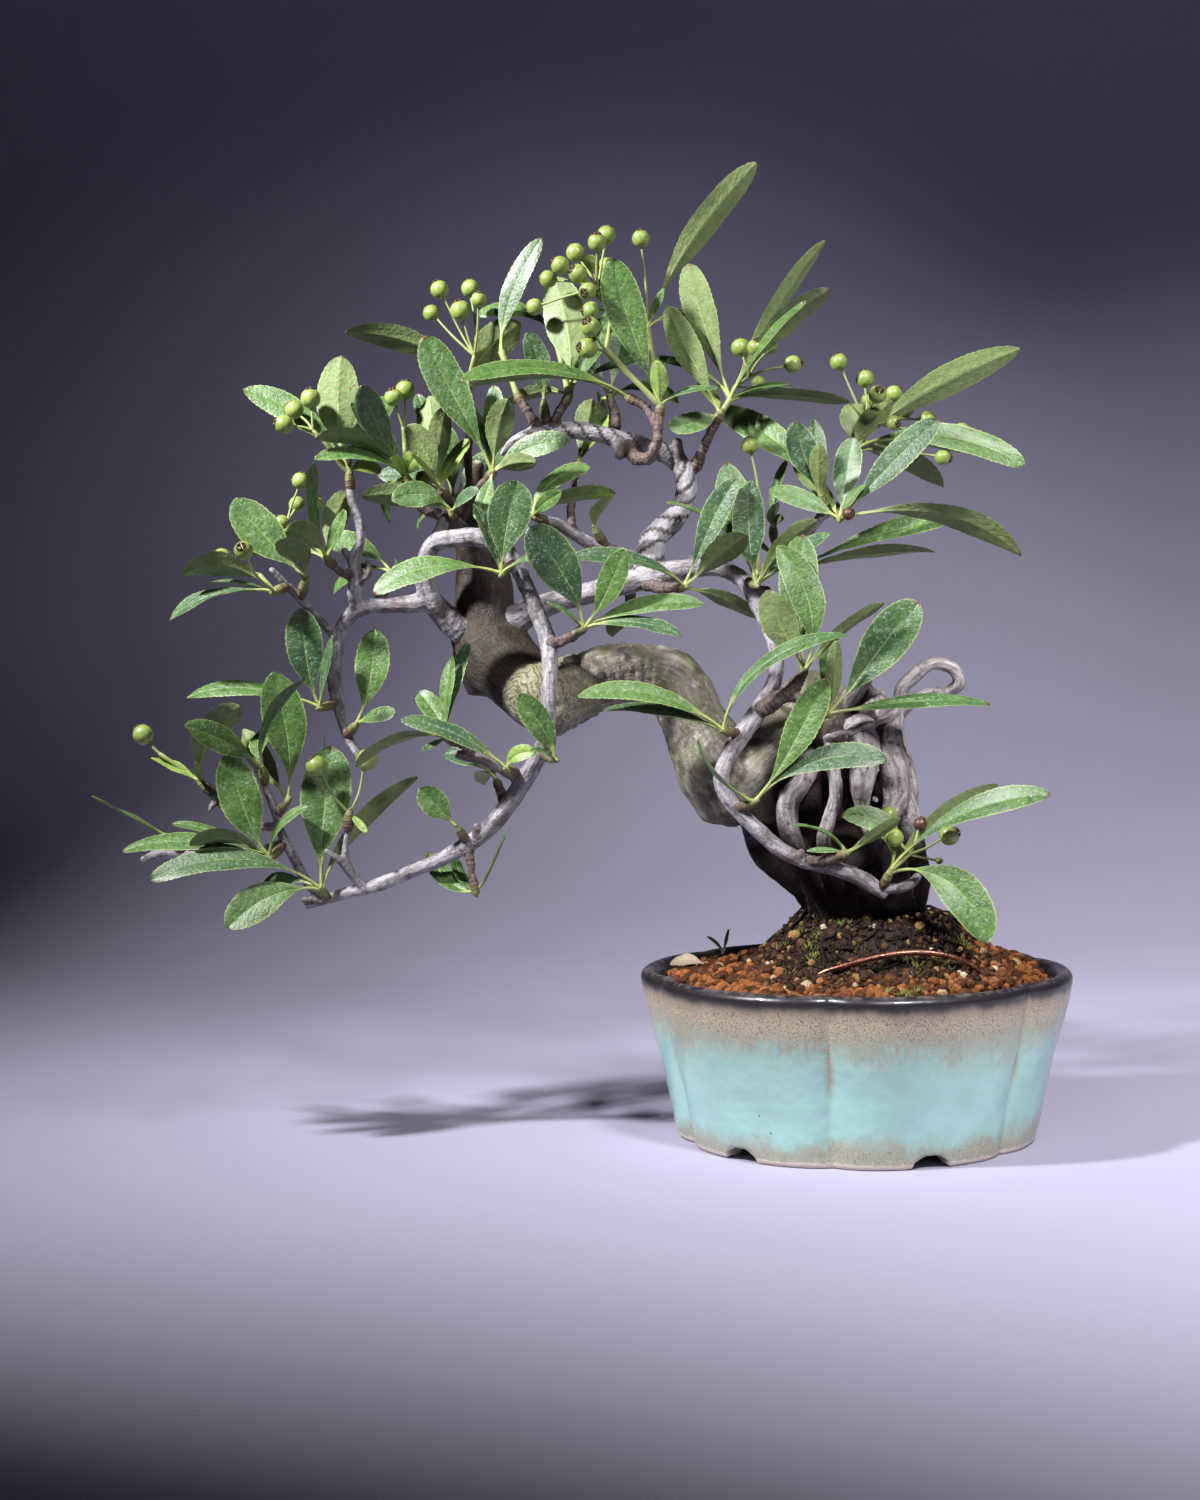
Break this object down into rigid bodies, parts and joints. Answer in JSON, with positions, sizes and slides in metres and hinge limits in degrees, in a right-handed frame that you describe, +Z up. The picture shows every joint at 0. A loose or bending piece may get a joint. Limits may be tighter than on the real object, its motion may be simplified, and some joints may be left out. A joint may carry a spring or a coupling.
{
  "type": "pyracantha bonsai",
  "caption": "Leaning miniature firethorn tree with a looped trunk, exposed roots, leaf sprays and green berries, growing in a lobed glazed ceramic pot.",
  "frame": {"origin": "centre of the bounding box at its bottom, on the surface that the pot stands on; the pot's own axis is at x = 0.0703, y = 0", "axes": "+Z up, -Y towards the viewer of the front, +X to the viewer's right; the trunk leans and the branches hang towards -X"},
  "size_m": [0.2516, 0.1104, 0.2527],
  "materials": {
    "glaze": "glossy aqua glaze, tan at the rim and foot, black on the lip",
    "earth": "rough, orange-brown baked clay grains with a dark damp mound",
    "net": "matte black net",
    "copper": "dull copper-coloured wire",
    "bark": "matte grey-brown bark, silvery on the branches",
    "leaf": "leathery, glossy above and matte below",
    "weed": "soft bright green",
    "dry_leaf": "dry pale leaf"
  },
  "bodies": {
    "root": {"pot": "glaze", "soil": "earth", "drain_mesh": "net", "tie_wire": "copper", "wood": "bark", "weed_sprig": "weed", "fallen_leaf": "dry_leaf", "spray_far_left": "leaf", "spray_twig_bud": "leaf", "spray_twig_side": "leaf", "spray_left_fork": "leaf", "spray_grey_twig": "leaf", "spray_low_end": "leaf", "spray_low_cluster": "leaf", "spray_left_post": "leaf", "spray_mid_low": "leaf", "spray_under_knob": "leaf", "spray_knob_front": "leaf", "spray_low_branch": "leaf", "spray_hanging_spur": "leaf", "spray_trunk_front": "leaf", "spray_elbow": "leaf", "spray_low_small": "leaf", "spray_low_right": "leaf", "spray_post_left": "leaf", "spray_left_outer": "leaf", "spray_left_inner": "leaf", "spray_left_fan": "leaf", "spray_left_crown": "leaf", "spray_crown_small": "leaf", "spray_crown_left": "leaf", "spray_crown_oval": "leaf", "spray_crown_heart": "leaf", "spray_trunk_top": "leaf", "spray_middle": "leaf", "spray_right_inner": "leaf", "spray_right_middle": "leaf", "spray_root_left": "leaf", "spray_root_top": "leaf", "spray_right_front": "leaf", "spray_right_spread": "leaf", "spray_right_far": "leaf", "spray_right_low": "leaf", "spray_right_young": "leaf", "spray_top_right": "leaf", "spray_top": "leaf", "spray_top_long": "leaf", "spray_top_broad": "leaf", "spray_top_dark": "leaf", "spray_top_left": "leaf", "spray_crown_back": "leaf", "spray_loop_back": "leaf", "spray_loop_left": "leaf", "spray_loop_young": "leaf", "spray_under_right": "leaf", "spray_back_crown": "leaf", "spray_back_loop": "leaf", "spray_back_right": "leaf", "spray_back_left": "leaf", "spray_back_low": "leaf"}
  },
  "joints": []
}
